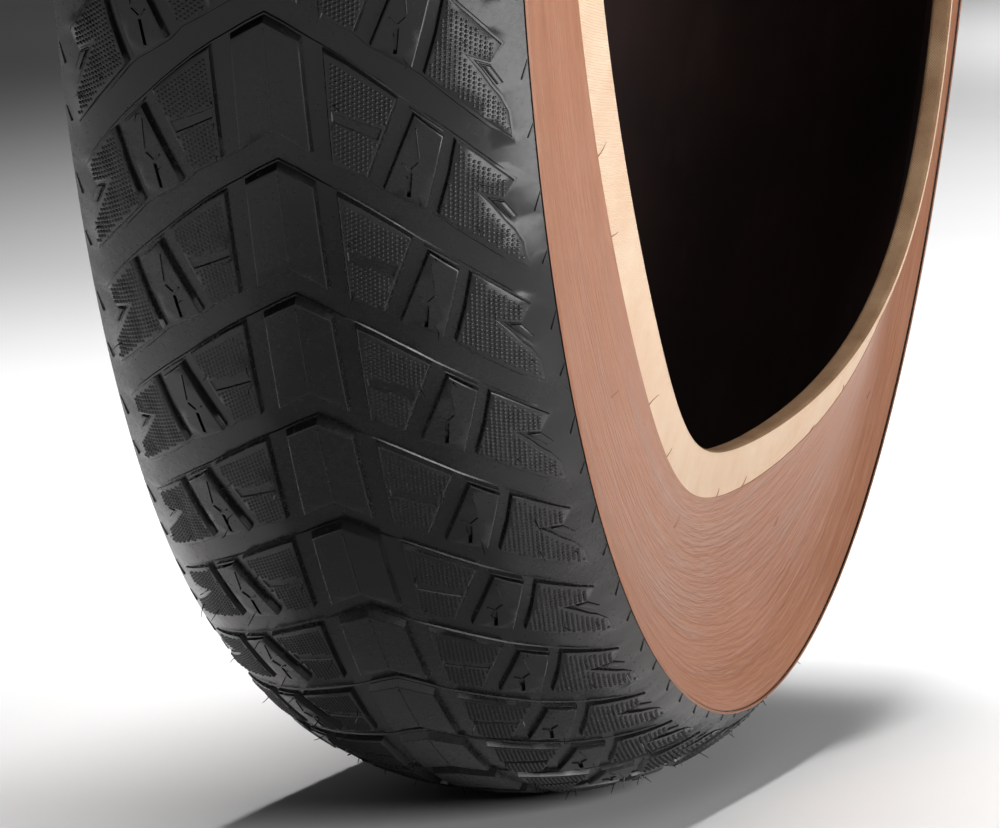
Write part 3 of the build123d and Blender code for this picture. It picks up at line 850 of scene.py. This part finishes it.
def cord_cloth(name, dark, light):
    n = Nodes(name, 0.75, Specular_IOR_Level=0.3)
    along, radius, width = n.polar()
    ribs = n.math("SINE", n.math("MULTIPLY", n.math("ADD", along, width), 5200.0))
    cloud = n.noise(50.0, 3.0, 0.6)
    colour = n.mix(n.ramp(ribs, (0.1, 0.0), (0.9, 0.7)), n.ramp(cloud, (0.3, dark), (0.7, light)), light)
    return n.finish(colour, None, [(ribs, 0.0003, 0.6)])


def pale_floor():
    """Plain pale matt floor, lit by the lamps only."""
    n = Nodes("pale_floor", 0.85, Specular_IOR_Level=0.1)
    return n.finish(n.ramp(n.noise(3.0, 2.0), (0.3, (0.86, 0.86, 0.86)), (0.7, (0.88, 0.88, 0.88))))


RUBBER = black_rubber()
TAN = tan_rubber()
CREAM = cream_cloth()
PAINTED_SHADE_CLOTH = painted_shade_cloth()
LINER = dark_liner()
CORD = cord_cloth("casing_cord", (0.16, 0.10, 0.07), (0.30, 0.20, 0.13))
ARAMID = cord_cloth("core_strand", (0.42, 0.33, 0.12), (0.62, 0.52, 0.22))


# ---- the pieces ----------------------------------------------------------------------------------
def piece(obj, slot, *nodes):
    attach(obj, "root")
    if nodes:
        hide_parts(*nodes)
    return obj


piece(make_tread(RUBBER), "tread_rubber", "tread_cap")
piece(make_dots(RUBBER), "tread_rubber")
piece(make_hairs(RUBBER), "tread_rubber")
piece(new_object("casing", *turned(casing_loop()), CORD), "casing_cord", "casing_ply")
piece(new_object("liner", *turned(liner_loop()), LINER), "liner_rubber", "inner_liner")
for side, label in ((1.0, "left"), (-1.0, "right")):
    skin = new_object("skin_" + label, *turned(skin_loop(side > 0), side), TAN)
    piece(skin, "skin_rubber", "sidewall_" + label)
    loop = chafer_loop()
    strip = new_object("rim_strip_" + label, *turned(loop, side), CREAM)
    strip.data.materials.append(PAINTED_SHADE_CLOTH)
    # The base and the inner face take the second material: cream cloth painted brown as painted shade.
    under = [int(r < SEAT_RADIUS + 0.9 or w < TOE_C[0] - 0.6) for w, r in loop]
    strip.data.polygons.foreach_set("material_index", under * AROUND)
    piece(strip, "chafer_cloth", "chafer_" + label)
    piece(new_object("core_" + label, *turned(core_loop(), side), ARAMID), "core_cord", "bead_core_" + label)
    piece(make_skin_hairs("skin_hairs_" + label, side, TAN), "skin_rubber")
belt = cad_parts["breaker_belt"]
if belt.data.materials:
    for i in range(len(belt.data.materials)):
        belt.data.materials[i] = CORD
else:
    belt.data.materials.append(CORD)


# ---- floor, light and camera ------------------------------------------------------------------------
floor_mesh = bpy.data.meshes.new("floor")
FLOOR_REACH = 9.0  # metres each way
FLOOR_LEVEL = -0.3662  # just under the tread
corners = [(FLOOR_REACH * x, FLOOR_REACH * y, FLOOR_LEVEL) for x, y in ((-1, -1), (1, -1), (1, 1), (-1, 1))]
floor_mesh.from_pydata(corners, [], [(0, 1, 2, 3)])
floor_mesh.materials.append(pale_floor())
floor = bpy.data.objects.new("floor", floor_mesh)
bpy.context.scene.collection.objects.link(floor)

world = bpy.data.worlds.new("studio")
bpy.context.scene.world = world
world.use_nodes = True
world.node_tree.nodes["Background"].inputs["Color"].default_value = (1.0, 1.0, 1.0, 1.0)
world.node_tree.nodes["Background"].inputs["Strength"].default_value = 0.05
bpy.context.scene.view_settings.view_transform = "Standard"


def soft_light(name, where, at, size, power, spread=180.0):
    data = bpy.data.lights.new(name, "AREA")
    data.spread = math.radians(spread)
    data.shape = "RECTANGLE"
    data.size, data.size_y = size
    data.energy = power
    obj = bpy.data.objects.new(name, data)
    obj.location = where
    obj.rotation_euler = (Vector(at) - Vector(where)).to_track_quat("-Z", "Y").to_euler()
    bpy.context.scene.collection.objects.link(obj)


soft_light("key", (0.9, 2.2, 0.5), (0.3, 0.0, 0.0), (1.0, 0.9), 32.0)
soft_light("low_right", (0.36, 0.43, -0.35), (0.36, 0.43, 1.0), (0.32, 0.3), 1.6)
soft_light("high_right", (0.9, 1.2, 1.9), (0.3, 0.0, -0.15), (1.2, 1.2), 5.0)
soft_light("overhead", (-0.5, 0.0, 2.4), (-0.5, 0.0, -0.37), (1.6, 0.5), 8.0, 50.0)
soft_light("floor_wash", (-3.0, 0.0, 1.9), (-3.0, 0.0, -0.37), (4.6, 0.5), 26.0, 60.0)
soft_light("far_wash", (-7.2, 0.0, 1.9), (-7.2, 0.0, -0.37), (3.6, 1.0), 50.0, 60.0)


def camera():
    """The photograph's view: low, in front and a little to the left side, with a long lens."""
    # The six numbers and the lens come from a scratch fit of the view. 0.366 is the crown radius in metres.
    azimuth, elevation, distance = 0.2169, -0.0239, 6.9874 * 0.366
    yaw, pitch, roll = 0.0054, -0.1021, -0.0265
    level = math.cos(elevation)
    out = Vector((level * math.cos(azimuth), level * math.sin(azimuth), math.sin(elevation)))
    ahead = -out
    right = ahead.cross(Vector((0.0, 0.0, 1.0))).normalized()
    up = right.cross(ahead)
    turn = Matrix.Rotation(yaw, 3, up)
    ahead, right = turn @ ahead, turn @ right
    turn = Matrix.Rotation(pitch, 3, right)
    ahead, up = turn @ ahead, turn @ up
    turn = Matrix.Rotation(roll, 3, ahead)
    right, up = turn @ right, turn @ up
    data = bpy.data.cameras.new("camera")
    data.sensor_fit = "HORIZONTAL"
    data.sensor_width = 36.0
    data.lens = 327.97
    data.clip_end = 100.0
    obj = bpy.data.objects.new("camera", data)
    basis = Matrix((right, up, -ahead)).transposed().to_4x4()
    obj.matrix_world = Matrix.Translation(out * distance) @ basis
    bpy.context.scene.collection.objects.link(obj)
    bpy.context.scene.camera = obj


camera()

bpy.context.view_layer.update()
